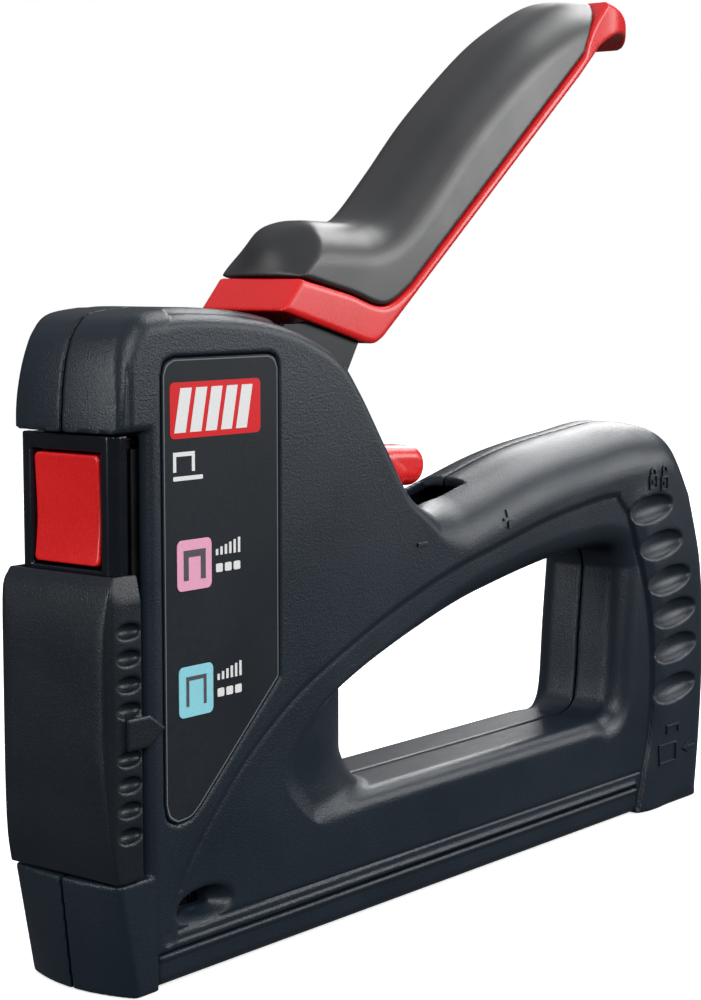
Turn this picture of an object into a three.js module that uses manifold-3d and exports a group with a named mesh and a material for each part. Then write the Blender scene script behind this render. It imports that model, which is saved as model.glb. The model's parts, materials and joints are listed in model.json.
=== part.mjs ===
// A hand staple gun: two plastic body shells around a steel core, a squeeze lever that lifts a
// spring-loaded driver, a selector cover on the nose and a magazine that slides out at the back.
// Millimetres. +X runs to the back of the tool, -Y is the user's left-hand side, +Z is up.
// The origin is under the middle of the tool, on the surface that it stands on.

import * as THREE from 'three';
import { mergeVertices } from 'three/addons/utils/BufferGeometryUtils.js';
import Module from 'manifold-3d';

const wasm = await Module();
wasm.setup();

// ---- driving dimensions ----

const HALF_WIDTH = 13;           // mid plane to the flat side of the body
const WALL = 2.1;                // shell thickness
const INSIDE = HALF_WIDTH - WALL;
const SEAM = 0.15;               // half of the joint line between the two shells
const GAP = 0.3;                 // clearance between neighbouring pieces
const RIM = 2.4;                 // rounding of the body's outer edges
const OUT = 20;                  // far enough to cut clean through a side

const FRONT_X = -101;            // foremost point, on the selector cover
const BACK_X = 101;              // rearmost point, on the rear grips
const SHELL_FRONT_X = -92;       // front edge of the side panels
const CROWN_Z = 117.5;           // top of the head
const BROW_Z = 96.8;             // underside of the block over the selector cover
const NOSE_Z = 20.5;             // top of the nose block under the selector cover
const STRIP_TOP_Z = 6.2;         // top of the plastic strip that closes the bottom
const STRIP_FRONT_X = -88.4;
const REAR_GRIP_X = 68.9;        // where the wide rear grips start
const REAR_GRIP_HALF_WIDTH = 14.5;
const HOLE_FLOOR_Z = 24;         // floor of the finger hole
const HOLE_FRONT_X = -28.6;      // front end of the finger hole on the mid plane
const FLARE_X = -54.6;           // where the flare in front of it runs out on the side

const PIVOT = { x: -48.7, z: 100 };      // lever axle
const ADJUSTER = { x: -16, z: 66 };      // power adjuster axle
const CATCH = { x: -93.6, z: 92.6 };     // front catch axle
const SPRING_X = -82.5;                  // power spring centre line
const CROWN_WIDTH = 11.4;                // over the legs of a fine or flat wire staple

const COLOURS = {
  shell: 0x2b3138,
  gloss: 0x0c0f14,
  cover: 0x262c33,
  red: 0xc8161d,
  grip: 0x1d2024,
  label: 0x343b43,
  steel: 0xb4b7ba,
  darkSteel: 0x4a4d50,
  spring: 0x9a9da0,
  staple: 0xc9cccf,
  rubber: 0x141414,
};

// ---- solids ----

function solid(geometry) {
  geometry.deleteAttribute('normal');
  geometry.deleteAttribute('uv');
  const merged = mergeVertices(geometry, 1e-4);
  return new wasm.Manifold(new wasm.Mesh({
    numProp: 3,
    vertProperties: merged.attributes.position.array,
    triVerts: new Uint32Array(merged.index.array),
  }));
}

function surface(body) {
  const mesh = body.getMesh();
  const geometry = new THREE.BufferGeometry();
  geometry.setAttribute('position', new THREE.BufferAttribute(mesh.vertProperties, 3));
  geometry.setIndex(new THREE.BufferAttribute(mesh.triVerts, 1));
  geometry.computeVertexNormals();
  return geometry;
}

function joined(bodies) {
  return bodies.reduce((sum, body) => sum.add(body));
}

function block(x, y, z) {
  const geometry = new THREE.BoxGeometry(x[1] - x[0], y[1] - y[0], z[1] - z[0]);
  geometry.translate((x[0] + x[1]) / 2, (y[0] + y[1]) / 2, (z[0] + z[1]) / 2);
  return solid(geometry);
}

function extrusion(shape, depth, bevel, curveSegments) {
  const geometry = new THREE.ExtrudeGeometry(shape, {
    depth: depth - 2 * bevel,
    bevelEnabled: bevel > 0,
    bevelThickness: bevel,
    bevelSize: bevel,
    bevelOffset: -bevel,
    bevelSegments: 3,
    curveSegments,
  });
  geometry.translate(0, 0, bevel);
  return geometry;
}

// A side outline, drawn in X and Z, carried along Y.
function alongY(shape, y, bevel = 0, curveSegments = 4) {
  const geometry = extrusion(shape, y[1] - y[0], bevel, curveSegments);
  geometry.rotateX(Math.PI / 2);
  geometry.translate(0, y[1], 0);
  return solid(geometry);
}

// A plan outline, drawn in X and Y, carried along Z.
function alongZ(shape, z, curveSegments = 6) {
  const geometry = extrusion(shape, z[1] - z[0], 0, curveSegments);
  geometry.translate(0, 0, z[0]);
  return solid(geometry);
}

// A cross-section, drawn in Y and Z, carried along X.
function alongX(shape, x) {
  const geometry = extrusion(shape, x[1] - x[0], 0, 1);
  geometry.applyMatrix4(new THREE.Matrix4().makeBasis(
    new THREE.Vector3(0, 1, 0), new THREE.Vector3(0, 0, 1), new THREE.Vector3(1, 0, 0)));
  geometry.translate(x[0], 0, 0);
  return solid(geometry);
}

function rodY(centre, radius, y, segments = 20) {
  const geometry = new THREE.CylinderGeometry(radius, radius, y[1] - y[0], segments);
  geometry.translate(centre.x, (y[0] + y[1]) / 2, centre.z);
  return solid(geometry);
}

function rodX(centre, radius, x, segments = 16) {
  const geometry = new THREE.CylinderGeometry(radius, radius, x[1] - x[0], segments);
  geometry.rotateZ(Math.PI / 2);
  geometry.translate((x[0] + x[1]) / 2, centre.y, centre.z);
  return solid(geometry);
}

function rodZ(centre, radius, z, segments = 20) {
  const geometry = new THREE.CylinderGeometry(radius, radius, z[1] - z[0], segments);
  geometry.rotateX(Math.PI / 2);
  geometry.translate(centre.x, 0, (z[0] + z[1]) / 2);
  return solid(geometry);
}

function polygon(points) {
  return new THREE.Shape(points.map(([x, y]) => new THREE.Vector2(x, y)));
}

// An outline of stretches: each starts with 'line' or 'curve' and goes on through its points.
function outline(start, stretches) {
  const shape = new THREE.Shape();
  shape.moveTo(...start);
  for (const [kind, ...points] of stretches) {
    if (kind === 'curve') {
      shape.splineThru(points.map(([x, y]) => new THREE.Vector2(x, y)));
    } else {
      for (const point of points) shape.lineTo(...point);
    }
  }
  return shape;
}

function capsule(from, to, radius) {
  const angle = Math.atan2(to[1] - from[1], to[0] - from[0]);
  const shape = new THREE.Shape();
  shape.absarc(to[0], to[1], radius, angle - Math.PI / 2, angle + Math.PI / 2, false);
  shape.absarc(from[0], from[1], radius, angle + Math.PI / 2, angle + 1.5 * Math.PI, false);
  return shape;
}

function mirrored(makeSide) {
  return makeSide(1).add(makeSide(-1));
}

function span(side, from, to) {
  return side > 0 ? [from, to] : [-to, -from];
}

// A wire wound along the third axis of its own frame, with flat ends.
class Helix extends THREE.Curve {
  constructor(radius, length, turns) {
    super();
    Object.assign(this, { radius, length, turns });
  }

  getPoint(t, target = new THREE.Vector3()) {
    const angle = 2 * Math.PI * this.turns * t;
    return target.set(this.radius * Math.cos(angle), this.radius * Math.sin(angle), this.length * t);
  }
}

function coil(radius, wire, length, turns, stepsPerTurn, wireSides) {
  const section = new THREE.Shape();
  section.absarc(0, 0, wire / 2, 0, 2 * Math.PI, false);
  return new THREE.ExtrudeGeometry(section, {
    extrudePath: new Helix(radius, length, turns),
    steps: turns * stepsPerTurn,
    curveSegments: wireSides,
  });
}

// ---- body shells ----

const SCREWS = [[-61, 110.2], [-66, 32], [-44, 67], [16, 70], [58, 74], [90.5, 63.5]]
  .map(([x, z]) => ({ x, z }));
const SCREW = { shank: 1.3, head: 2.8, headHeight: 1.8, boss: 3.6 };
const SCREW_HEAD_Y = 10.2;       // underside of the screw heads, from the mid plane

function sidePanel() {
  const shape = outline([SHELL_FRONT_X, -OUT / 4], [
    ['line', [SHELL_FRONT_X, 108]],
    ['curve', [-91, 113.4], [-86, CROWN_Z - 0.6], [-77, CROWN_Z], [-61, 116.4], [-48, 113.4],
      [-37.6, 108.4], [-31.4, 101.4], [-23.6, 90], [-15.6, 79.6], [-7, 76.6]],
    ['curve', [10.6, 81], [31, 85.6], [54.5, 88.4], [72, 89.4], [84, 85], [93, 73.5]],
    ['curve', [98.6, 58], [100.6, 44], [100.8, 30], [99.6, 12], [97.4, -OUT / 4]],
  ]);
  return alongY(shape, [-HALF_WIDTH, HALF_WIDTH], RIM, 3);
}

function rearGrip() {
  const shape = outline([REAR_GRIP_X, -OUT / 4], [
    ['curve', [73, 12], [74.6, 28], [73, 46], [67, 63], [62, 72]],
    ['curve', [66, 84], [78, 86], [88, 79.4], [94, 70]],
    ['curve', [98.6, 56], [100.6, 42], [BACK_X, 30], [99.8, 12], [97.6, -OUT / 4]],
  ]);
  return alongY(shape, [-REAR_GRIP_HALF_WIDTH, REAR_GRIP_HALF_WIDTH], RIM, 3);
}

// A block with a bulging front: its plan carried up, cut to its side profile.
function frontBlock(plan, profile, z) {
  return alongZ(plan, z).intersect(alongY(profile, [-OUT, OUT]));
}

function bulgedPlan(frontX, halfWidth, cornerX) {
  return outline([-86, -halfWidth], [
    ['line', [-86, halfWidth], [cornerX, halfWidth]],
    ['curve', [frontX + 1.6, halfWidth - 2], [frontX, 0], [frontX + 1.6, 2 - halfWidth],
      [cornerX, -halfWidth]],
  ]);
}

function nose() {
  const profile = polygon([[-86, -1], [-95, -1], [-99.3, NOSE_Z], [-86, NOSE_Z]]);
  return frontBlock(bulgedPlan(-99.4, 12.9, -94.4), profile, [-1, NOSE_Z]);
}

function brow() {
  const profile = outline([-86, BROW_Z - 0.1], [
    ['line', [-98.6, BROW_Z - 0.1], [-98.4, 100]],
    ['curve', [-97.2, 107], [-95.4, 112.6], [-91.4, 116], [-86, CROWN_Z]],
  ]);
  const face = frontBlock(bulgedPlan(-98.6, 11.6, -94), profile, [BROW_Z, CROWN_Z]);
  const cheeks = polygon([[-86, BROW_Z], [-94.5, BROW_Z], [-94.4, 109], [-91.6, 113.4], [-86, 115]]);
  return face.add(alongY(cheeks, [-HALF_WIDTH, HALF_WIDTH]));
}

// The finger hole as seen from the side, with a plan that flares it open towards the front.
function fingerHole() {
  const side = outline([-47, HOLE_FLOOR_Z - 1], [
    ['line', [-30, HOLE_FLOOR_Z], [56, HOLE_FLOOR_Z]],
    ['curve', [60, 25.6], [61.6, 30], [62.6, 42], [64.2, 57]],
    ['curve', [61.6, 61.4], [50, 62.6], [28, 60.6], [-8, 54.4], [-27.2, 49.9], [-43.9, 43.4]],
    ['curve', [-52.4, 38], [-53.6, 31], [-47, HOLE_FLOOR_Z - 1]],
  ]);
  const plan = outline([FLARE_X, OUT], [
    ['line', [FLARE_X, HALF_WIDTH + 0.2]],
    ['curve', [-41.6, 11.2], [-32.2, 6.8], [HOLE_FRONT_X, 0], [-32.2, -6.8], [-41.6, -11.2],
      [FLARE_X, -HALF_WIDTH - 0.2]],
    ['line', [FLARE_X, -OUT], [REAR_GRIP_X, -OUT], [REAR_GRIP_X, OUT]],
  ]);
  return alongY(side, [-OUT, OUT], 0, 3).intersect(alongZ(plan, [18, 66], 4));
}

function innerSpace() {
  const head = polygon([
    [SHELL_FRONT_X - 1, 21.4], [SHELL_FRONT_X - 1, 96], [-91, 96.1], [-91.4, 113], [-88, 114.8],
    [-62, 113.8], [-50, 110.6], [-41, 106], [-34, 98.6], [-26, 86.8], [-19, 77.4], [-12, 73.6],
    [10, 77.6], [30, 82.4], [56, 85.4], [72, 86], [82, 81.4], [90, 71.4], [95.6, 58], [97.8, 44],
    [98, 30], [97, 23], [77, 23], [77.6, 34], [76, 46], [70, 62], [64, 66], [28, 64.6],
    [-8, 58], [-27, 53.2], [-44, 47], [-57, 39.6], [-57, 21.4],
  ]);
  const tunnel = block([-89.8, OUT * 6], [-7.4, 7.4], [STRIP_TOP_Z, 20.2]);
  const stripBay = block([STRIP_FRONT_X - GAP, REAR_GRIP_X], [-OUT, OUT], [-OUT, STRIP_TOP_Z + GAP]);
  const endBay = block([91, OUT * 6], [-10.4, 10.4], [2.2, 20.2]);
  return joined([
    alongY(head, [-INSIDE, INSIDE]),
    tunnel,
    stripBay,
    endBay,
    block([-92.4, -90.9], [-10, 10], [-OUT, 24]),           // front plate
    block([-91.4, -89.4], [-6.2, 6.2], [-OUT, 24]),         // driver
    block([PIVOT.x - 5.4, -12], [-INSIDE, INSIDE], [88, OUT * 7]),   // lever slot
    block([-20, 10.6], [-5.2, 5.2], [68, 100]),             // adjuster slot
  ]);
}

function sightWindow() {
  const shape = new THREE.Shape();
  shape.absellipse(-76.8, 12.7, 7.7, 3.4, 0, 2 * Math.PI, false, 0.12);
  return alongY(shape, [-OUT, OUT]);
}

function lockSlot() {
  return block([91, 120], [-5.3, 5.3], [67, 84]);
}

function bosses() {
  const screwBosses = SCREWS.map((centre) => rodY(centre, SCREW.boss, [-INSIDE - 0.2, INSIDE + 0.2], 16));
  const axleBosses = mirrored((side) => rodY(PIVOT, 5, span(side, 9.8, INSIDE + 0.2)));
  const adjusterBosses = mirrored((side) => rodY(ADJUSTER, 4.4, span(side, 5.2, INSIDE + 0.2)));
  const bumperShelf = block([-89.6, -73], [-9.6, 9.6], [40.4, 43.6]);
  const shelfWeb = block([-79, -74], [-11.2, 11.2], [21, 43.6]);
  return joined([...screwBosses, axleBosses, adjusterBosses, bumperShelf, shelfWeb]);
}

function fastenerHoles(side) {
  const axles = rodY(PIVOT, 2.8, [-12.2, 12.2]).add(rodY(ADJUSTER, 2.3, [-11.6, 11.6]));
  const holes = SCREWS.map((centre) => {
    const shank = rodY(centre, SCREW.shank + GAP, [-10.6, SCREW_HEAD_Y + 1], 14);
    return shank.add(rodY(centre, SCREW.head + GAP, [SCREW_HEAD_Y - GAP, OUT], 18));
  });
  return side > 0 ? joined([axles, ...holes]) : axles.add(joined(holes));
}

const LABEL = { depth: 0.9, thickness: 0.5 };

function labelOutline(inset) {
  const i = inset;
  return outline([-83.8 + i * 0.3, 28.4 + i], [
    ['curve', [-80.4, 28.8 + i], [-77.6 - i * 0.7, 30.6 + i * 0.7]],
    ['line', [-56.5 - i, 50.4 + i * 0.5], [-56.5 - i, 106.4]],
    ['curve', [-57.3 - i, 108.6 - i], [-59.4, 109.3 - i]],
    ['line', [-83.8, 109.3 - i]],
    ['curve', [-86.2 + i, 108.4 - i], [-87 + i, 106]],
    ['line', [-87 + i, 32.4]],
    ['curve', [-86.2 + i, 29.6 + i], [-83.8 + i * 0.3, 28.4 + i]],
  ]);
}

function label(side) {
  const outer = HALF_WIDTH - LABEL.depth + GAP;
  return alongY(labelOutline(GAP), span(side, outer, outer + LABEL.thickness));
}

function bodySolid() {
  const outer = joined([sidePanel(), nose(), brow()])
    .subtract(block([-110, SHELL_FRONT_X], [-OUT, OUT], [NOSE_Z, BROW_Z]))
    .add(rearGrip())
    .subtract(block([-120, 120], [-OUT, OUT], [-OUT, 0]));
  const labelPockets = mirrored((side) => alongY(labelOutline(0), span(side, HALF_WIDTH - LABEL.depth, OUT)));
  return outer
    .subtract(innerSpace())
    .add(bosses())
    .subtract(joined([fingerHole(), sightWindow(), labelPockets, lockSlot()]));
}

function shell(body, side) {
  return body
    .intersect(block([-120, 120], span(side, SEAM, OUT), [-1, 130]))
    .subtract(fastenerHoles(side));
}

function shellScrew(centre) {
  const head = rodY(centre, SCREW.head, [SCREW_HEAD_Y, SCREW_HEAD_Y + SCREW.headHeight], 18);
  const shank = rodY(centre, SCREW.shank, [-9.6, SCREW_HEAD_Y + 0.1], 12);
  const recessY = [SCREW_HEAD_Y + 0.6, SCREW_HEAD_Y + 3];
  const slot = block([centre.x - 1.7, centre.x + 1.7], recessY, [centre.z - 0.4, centre.z + 0.4]);
  const cross = block([centre.x - 0.4, centre.x + 0.4], recessY, [centre.z - 1.7, centre.z + 1.7]);
  return head.add(shank).subtract(slot.add(cross));
}

// ---- nose mechanism ----

function steelFrame() {
  const web = block([SHELL_FRONT_X, -91.2], [-9.7, 9.7], [0.6, 95.4]);
  const window = block([-93, -91], [-8.6, 8.6], [71, 94]);
  const flanges = mirrored((side) => block([SHELL_FRONT_X, -72], span(side, 9.8, 10.6), [46, 94])
    .add(block([SHELL_FRONT_X, -91.2], span(side, 9, 10.6), [46, 94])));
  return web.subtract(window).add(flanges);
}

function slideGuide() {
  const plan = outline([-92.4, -10.4], [
    ['line', [-92.4, 10.4], [-94.6, 10.4], [-94.6, 11.3], [-95.4, 11.3]],
    ['curve', [-96.5, 10.9], [-97, 9.9]],
    ['line', [-97, -9.9]],
    ['curve', [-96.5, -10.9], [-95.4, -11.3]],
    ['line', [-94.6, -11.3], [-94.6, -10.4]],
  ]);
  const guide = alongZ(plan, [NOSE_Z + 0.4, BROW_Z - 0.4], 3);
  const window = block([-98, -91], [-8.25, 8.25], [73.8, 93.6]);
  const axleHole = rodY(CATCH, 1.3, [-9.6, 9.6], 12);
  const hollow = block([-94.6, -91], [-8.6, 8.6], [24, 70]);
  return guide.subtract(joined([window, axleHole, hollow]));
}

function frontCatch() {
  const profile = outline([-96.9, 93.2], [
    ['curve', [-96.6, 88], [-96.4, 82], [-96.7, 77.6], [-97.2, 74.2]],
    ['line', [-95.4, 74.2], [-94.6, 80], [-94.4, 89], [-92.8, 90.6], [-92.4, 92.6], [-92.8, 93.2]],
  ]);
  return alongY(profile, [-7.9, 7.9]).subtract(rodY(CATCH, 0.75, [-OUT, OUT], 12));
}

function catchAxle() {
  return rodY(CATCH, 0.5, [-9.2, 9.2], 10);
}

function selectorCover() {
  const width = 13.5;
  const plan = outline([-92.7, -width], [
    ['line', [-92.7, width], [-97.4, width]],
    ['curve', [-99.6, 13.1], [-100.7, 12], [FRONT_X, 10.4]],
    ['line', [FRONT_X, -10.4]],
    ['curve', [-100.7, -12], [-99.6, -13.1], [-97.4, -width]],
  ]);
  const profile = outline([-90, 20.9], [
    ['line', [-98.7, 20.9]],
    ['curve', [-99.8, 27], [-100.5, 36], [FRONT_X, 44], [FRONT_X, 54], [-100.9, 62], [-100, 69.7],
      [-98.5, 73.1]],
    ['line', [-90, 73.1]],
  ]);
  const hollow = block([-97.55, -90], [-11.7, 11.7], [0, 100]);
  const pointer = polygon([[-97, 43.7], [-91.4, 43.7], [-87.7, 46.4], [-91.4, 49.1], [-97, 49.1]]);
  const pointers = mirrored((side) => alongY(pointer, span(side, HALF_WIDTH + GAP, 14.2)));
  return frontBlock(plan, profile, [20.9, 73.1]).subtract(hollow).add(pointers);
}

// ---- driver and power spring ----

const PLUNGER_Z = [50, 58];
const CHEEK_Y = [6.4, 7.2];              // inner and outer face of the plunger's cheeks
const SPRING_Z = [58.4, 111.6];

function driverBlade() {
  const blade = block([-90.9, -90.1], [-CROWN_WIDTH / 2 + 0.1, CROWN_WIDTH / 2 - 0.1], [0.6, 57]);
  return blade.subtract(block([-92, -89], [-2, 2], [52.5, 55.5]));
}

function plunger() {
  const base = block([-89.8, -75.6], [-7.9, 7.9], PLUNGER_Z);
  const hook = block([-91, -89.7], [-1.6, 1.6], [52.9, 55.1]);
  const seat = rodZ({ x: SPRING_X }, 3.9, [57.5, 61]);
  const slot = capsule([-81.8, 83.4], [-77.2, 83.4], 2.6);
  const cheeks = mirrored((side) => {
    const stem = block([-86, -76], span(side, ...CHEEK_Y), [56, 82]);
    const eye = block([-86, -73], span(side, ...CHEEK_Y), [79, 88.6]);
    return stem.add(eye);
  });
  return joined([base, hook, seat, cheeks]).subtract(alongY(slot, [-OUT, OUT], 0, 8));
}

function powerSpring() {
  const geometry = coil(5.4, 1.7, SPRING_Z[1] - SPRING_Z[0] - 2.4, 9, 14, 4);
  geometry.translate(SPRING_X, 0, SPRING_Z[0] + 1.2);
  return solid(geometry);
}

function springCap() {
  return rodZ({ x: SPRING_X }, 6.6, [112, 113.4], 24).add(rodZ({ x: SPRING_X }, 3.9, [108.4, 112.1]));
}

function plungerBumper() {
  return block([-88.6, -75.8], [-7.4, 7.4], [44, 49.6]);
}

// ---- lever ----

const LEVER_HALF_WIDTH = 10.3;
const FORK_Y = [7.5, 8.6];              // inner and outer face of each fork plate
const UNDERSIDE = { from: [-22.4, 111], to: [54.5, 171.9] };

function fork() {
  const plate = outline([-77.2, 79.6], [
    ['curve', [-81, 82], [-80.6, 86], [-76.6, 87]],
    ['line', [-58.5, 99.5], [-54, 107], [-50, 114], [-30, 114], [-27.6, 111.4], [-33, 102.6]],
    ['curve', [-38, 96.6], [-44, 93.6], [-52, 93]],
  ]);
  const plates = mirrored((side) => alongY(plate, span(side, ...FORK_Y)));
  const bosses = mirrored((side) => rodY({ x: -77.4, z: 83.5 }, 2.1, span(side, 6.35, FORK_Y[0] + 0.1), 16));
  const bridge = polygon([[-42, 100], [-36, 101.2], [-31, 107.4], [-33, 108.4], [-42, 104]]);
  return joined([plates, bosses, alongY(bridge, [-FORK_Y[0] - 0.1, FORK_Y[0] + 0.1])])
    .subtract(rodY(PIVOT, 2.85, [-OUT, OUT]));
}

// Red moulding: the block over the fork, a band along the underside and a hooked tip, with a
// rib that stands up into the black grip.
function leverBase() {
  const band = outline([-52.2, 116.5], [
    ['line', [-46.8, 122.3], [-44.7, 121.8]],
    ['curve', [-33, 119.4], [-22.1, 116.9], [-13.9, 120.4]],
    ['line', [47.4, 169.4]],
    ['curve', [50.6, 175], [58.4, 183.2]],
    ['curve', [64.6, 181.4], [71, 178.4], [73.3, 175.6]],
    ['line', [69.5, 174.3]],
    ['curve', [62, 174], UNDERSIDE.to],
    ['line', UNDERSIDE.from],
    ['curve', [-25, 109.9], [-28.4, 110.2]],
  ]);
  const rib = outline([-40, 119], [
    ['curve', [-34, 126], [-22, 125.6], [-6, 138], [14, 155.4], [34, 168.6], [49, 174]],
    ['line', [47, 166], [-14, 117.6]],
  ]);
  const forkSlots = mirrored((side) => {
    const slot = polygon([[-58, 90], [-58, 114.4], [-26.6, 114.4], [-26.6, 90]]);
    return alongY(slot, span(side, FORK_Y[0] - GAP, FORK_Y[1] + GAP));
  });
  return alongY(band, [-LEVER_HALF_WIDTH, LEVER_HALF_WIDTH], 0, 3)
    .add(alongY(rib, [-5.7, 5.7], 0, 3))
    .subtract(forkSlots);
}

function leverGrip() {
  const shape = outline([-46.6, 122.8], [
    ['curve', [-42, 128.2], [-35.6, 132], [-28, 132.8], [-20.4, 131.6], [-13.6, 138]],
    ['curve', [4.3, 155.8], [22.1, 169.2], [34.5, 176.4], [46, 182], [57.8, 183.7]],
    ['curve', [50.1, 175.4], [47, 169.8]],
    ['line', [-14.1, 120.8]],
    ['curve', [-22.2, 117.3], [-33, 119.8], [-44.6, 122.2]],
  ]);
  const ribSlot = outline([-40.4, 118], [
    ['line', [-40.4, 119.4]],
    ['curve', [-34.2, 126.6], [-22, 126.2], [-6.2, 138.6], [13.8, 156], [33.8, 169.2], [49.6, 175.4]],
    ['line', [47.6, 165], [-13, 116]],
  ]);
  // The top is crowned in three steps: the wider the slab, the lower its top.
  const slabs = [[6.6, 0], [8.8, 0.9], [LEVER_HALF_WIDTH, 2.6]].map(([halfWidth, drop]) => {
    const slab = alongY(shape, [-halfWidth, halfWidth], 0, 3);
    return slab.intersect(slab.translate([0.62 * drop, 0, -0.78 * drop]));
  });
  return joined(slabs).subtract(alongY(ribSlot, [-6, 6], 0, 3));
}

function leverAxle() {
  return rodY(PIVOT, 2.5, [-11.9, 11.9]);
}

// ---- power adjuster ----

function adjusterLever() {
  const hub = rodY(ADJUSTER, 4, [-4.4, 4.4]);
  const arm = polygon([[-18.6, 69], [-17.4, 83], [-13, 87], [-8, 84], [-12.2, 67.6]]);
  const knob = alongY(capsule([-13, 85.6], [-4.5, 85.9], 4.05), [-4.5, 4.5], 1.2, 6);
  const crank = capsule([ADJUSTER.x, ADJUSTER.z], [ADJUSTER.x - 1.6, ADJUSTER.z - 8], 1.7);
  return joined([hub, alongY(arm, [-3.6, 3.6]), knob, alongY(crank, [-1.8, 1.8], 0, 6)])
    .subtract(rodY(ADJUSTER, 2.3, [-OUT, OUT]));
}

function adjusterAxle() {
  return rodY(ADJUSTER, 2, [-11.2, 11.2], 16);
}

function forceSlide() {
  return block([-71.4, -20], [-3, 3], [56.6, 60.6]);
}

// ---- magazine ----

const CHANNEL_X = [-89.4, 64];
const STAPLES_X = [-89.4, -39];
const ROD = { y: 0, z: 12.2 };           // axis of the pusher's rod and spring

// A channel open at the bottom: outside half width and top, wall, and bottom edge.
function downChannel(halfWidth, top, wall, bottom) {
  const w = halfWidth;
  return polygon([[-w, bottom], [-w, top], [w, top], [w, bottom], [w - wall, bottom],
    [w - wall, top - wall], [wall - w, top - wall], [wall - w, bottom]]);
}

function magazineChannel() {
  return alongX(downChannel(7, 19.8, 0.8, 6.8), CHANNEL_X)
    .subtract(block([-84.4, -69.4], [-OUT, OUT], [9, 16.4]));
}

function stapleStrip() {
  return alongX(downChannel(CROWN_WIDTH / 2, 18.6, 0.7, 8.6), STAPLES_X);
}

function magazineRail() {
  const rail = alongX(downChannel(4.6, 17.5, 0.8, STRIP_TOP_Z + 0.6), [-89.2, 91.1]);
  return rail.subtract(block([-70, 60], [-1.3, 1.3], [12, 20]));
}

function pusher() {
  const saddle = alongX(downChannel(5.7, 18.6, 0.8, 9), [-38.4, -24]);
  const stem = block([-37, -30], [-1, 1], [14, 18.2]);
  const slide = block([-38, -29], [-3.4, 3.4], [9, 15.6]);
  return joined([saddle, stem, slide]).subtract(rodX(ROD, 1.15, [-50, 0]));
}

function pusherRod() {
  return rodX(ROD, 0.8, [-66, 90.6], 12);
}

function pusherSpring() {
  const geometry = coil(2.3, 0.7, 86, 20, 8, 3);
  geometry.rotateY(Math.PI / 2);
  geometry.translate(-28.2, ROD.y, ROD.z);
  return solid(geometry);
}

function bottomStrip() {
  const section = polygon([[-12.6, 1.8], [-12.6, STRIP_TOP_Z], [12.6, STRIP_TOP_Z], [12.6, 1.8],
    [11.8, 0.6], [-11.8, 0.6]]);
  return alongX(section, [STRIP_FRONT_X, REAR_GRIP_X - GAP]);
}

function drawerEnd() {
  const endBlock = block([91.4, 99.4], [-10, 10], [2.6, 19.8]);
  const latchBay = block([93.4, 101], [-6.3, 6.3], [7, 17.6]);
  const rodHole = block([90, 94], [-1.2, 1.2], [11, 13.4]);
  return endBlock.subtract(latchBay.add(rodHole));
}

function latchButton() {
  const cap = alongY(capsule([98.6, 10.6], [98.6, 15], 1.6), [-6, 6], 0.4, 5);
  return block([95.6, 99.4], [-6, 6], [8.3, 17.3]).add(cap);
}

// ---- lever lock ----

function leverLock() {
  const slider = outline([92.2, 67.6], [
    ['line', [92.2, 76.4], [91.6, 79]],
    ['line', [94, 78.6]],
    ['curve', [96.6, 72], [97.6, 67.6]],
  ]);
  return alongY(slider, [-5, 5], 0, 4);
}

// ---- assembly ----

const gun = new THREE.Group();

function put(name, body, colour, roughness = 0.6, metalness = 0) {
  const material = new THREE.MeshStandardMaterial({ color: colour, roughness, metalness });
  const mesh = new THREE.Mesh(surface(body), material);
  mesh.name = name;
  gun.add(mesh);
}

const body = bodySolid();
put('left_shell', shell(body, -1), COLOURS.shell);
put('right_shell', shell(body, 1), COLOURS.shell);
put('left_label', label(-1), COLOURS.label, 0.5);
put('right_label', label(1), COLOURS.label, 0.5);
SCREWS.forEach((centre, i) => {
  put(`shell_screw_${i + 1}`, shellScrew(centre), COLOURS.darkSteel, 0.4, 0.9);
});

put('steel_frame', steelFrame(), COLOURS.darkSteel, 0.4, 1);
put('slide_guide', slideGuide(), COLOURS.gloss, 0.15);
put('front_catch', frontCatch(), COLOURS.red, 0.3);
put('catch_axle', catchAxle(), COLOURS.steel, 0.3, 1);
put('selector_cover', selectorCover(), COLOURS.cover, 0.5);

put('driver_blade', driverBlade(), COLOURS.steel, 0.25, 1);
put('plunger', plunger(), COLOURS.darkSteel, 0.4, 1);
put('power_spring', powerSpring(), COLOURS.spring, 0.35, 1);
put('spring_cap', springCap(), COLOURS.steel, 0.4, 1);
put('plunger_bumper', plungerBumper(), COLOURS.rubber, 0.9);

put('lever_fork', fork(), COLOURS.darkSteel, 0.4, 1);
put('lever_base', leverBase(), COLOURS.red, 0.35);
put('lever_grip', leverGrip(), COLOURS.grip, 0.55);
put('lever_axle', leverAxle(), COLOURS.steel, 0.25, 1);

put('adjuster_lever', adjusterLever(), COLOURS.red, 0.35);
put('adjuster_axle', adjusterAxle(), COLOURS.steel, 0.25, 1);
put('force_slide', forceSlide(), COLOURS.steel, 0.4, 1);

put('magazine_channel', magazineChannel(), COLOURS.steel, 0.35, 1);
put('staple_strip', stapleStrip(), COLOURS.staple, 0.3, 1);
put('magazine_rail', magazineRail(), COLOURS.steel, 0.35, 1);
put('pusher', pusher(), COLOURS.steel, 0.35, 1);
put('pusher_rod', pusherRod(), COLOURS.steel, 0.3, 1);
put('pusher_spring', pusherSpring(), COLOURS.spring, 0.35, 1);
put('bottom_strip', bottomStrip(), COLOURS.shell, 0.6);
put('drawer_end', drawerEnd(), COLOURS.shell, 0.6);
put('latch_button', latchButton(), COLOURS.red, 0.35);
put('lever_lock', leverLock(), COLOURS.red, 0.35);

export default gun;
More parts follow.
